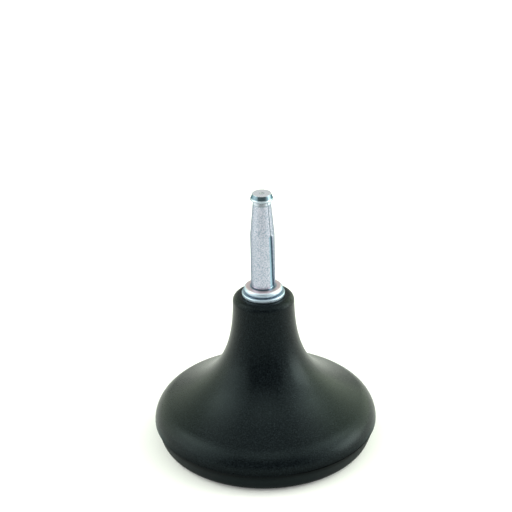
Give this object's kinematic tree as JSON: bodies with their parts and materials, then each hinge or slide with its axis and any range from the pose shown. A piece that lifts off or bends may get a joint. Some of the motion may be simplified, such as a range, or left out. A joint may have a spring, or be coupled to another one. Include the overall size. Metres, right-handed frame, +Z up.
{
  "type": "stem glide",
  "caption": "Bell-shaped plastic furniture foot with a plated stem pin in a split grip sleeve, which pushes into a leg's socket, so that the leg stands and slides on the floor.",
  "frame": {"origin": "centre of the sole's plane, on the floor", "axes": "+Z up along the stem, X and Y level, with ribs of the underside along X"},
  "size_m": [0.076, 0.076, 0.0911],
  "materials": {
    "black_plastic": "satin",
    "zinc_plated_steel": "bright zinc"
  },
  "bodies": {
    "root": {"bell_base": "black_plastic", "washer": "zinc_plated_steel", "stem_pin": "zinc_plated_steel", "grip_sleeve": "zinc_plated_steel"}
  },
  "joints": []
}
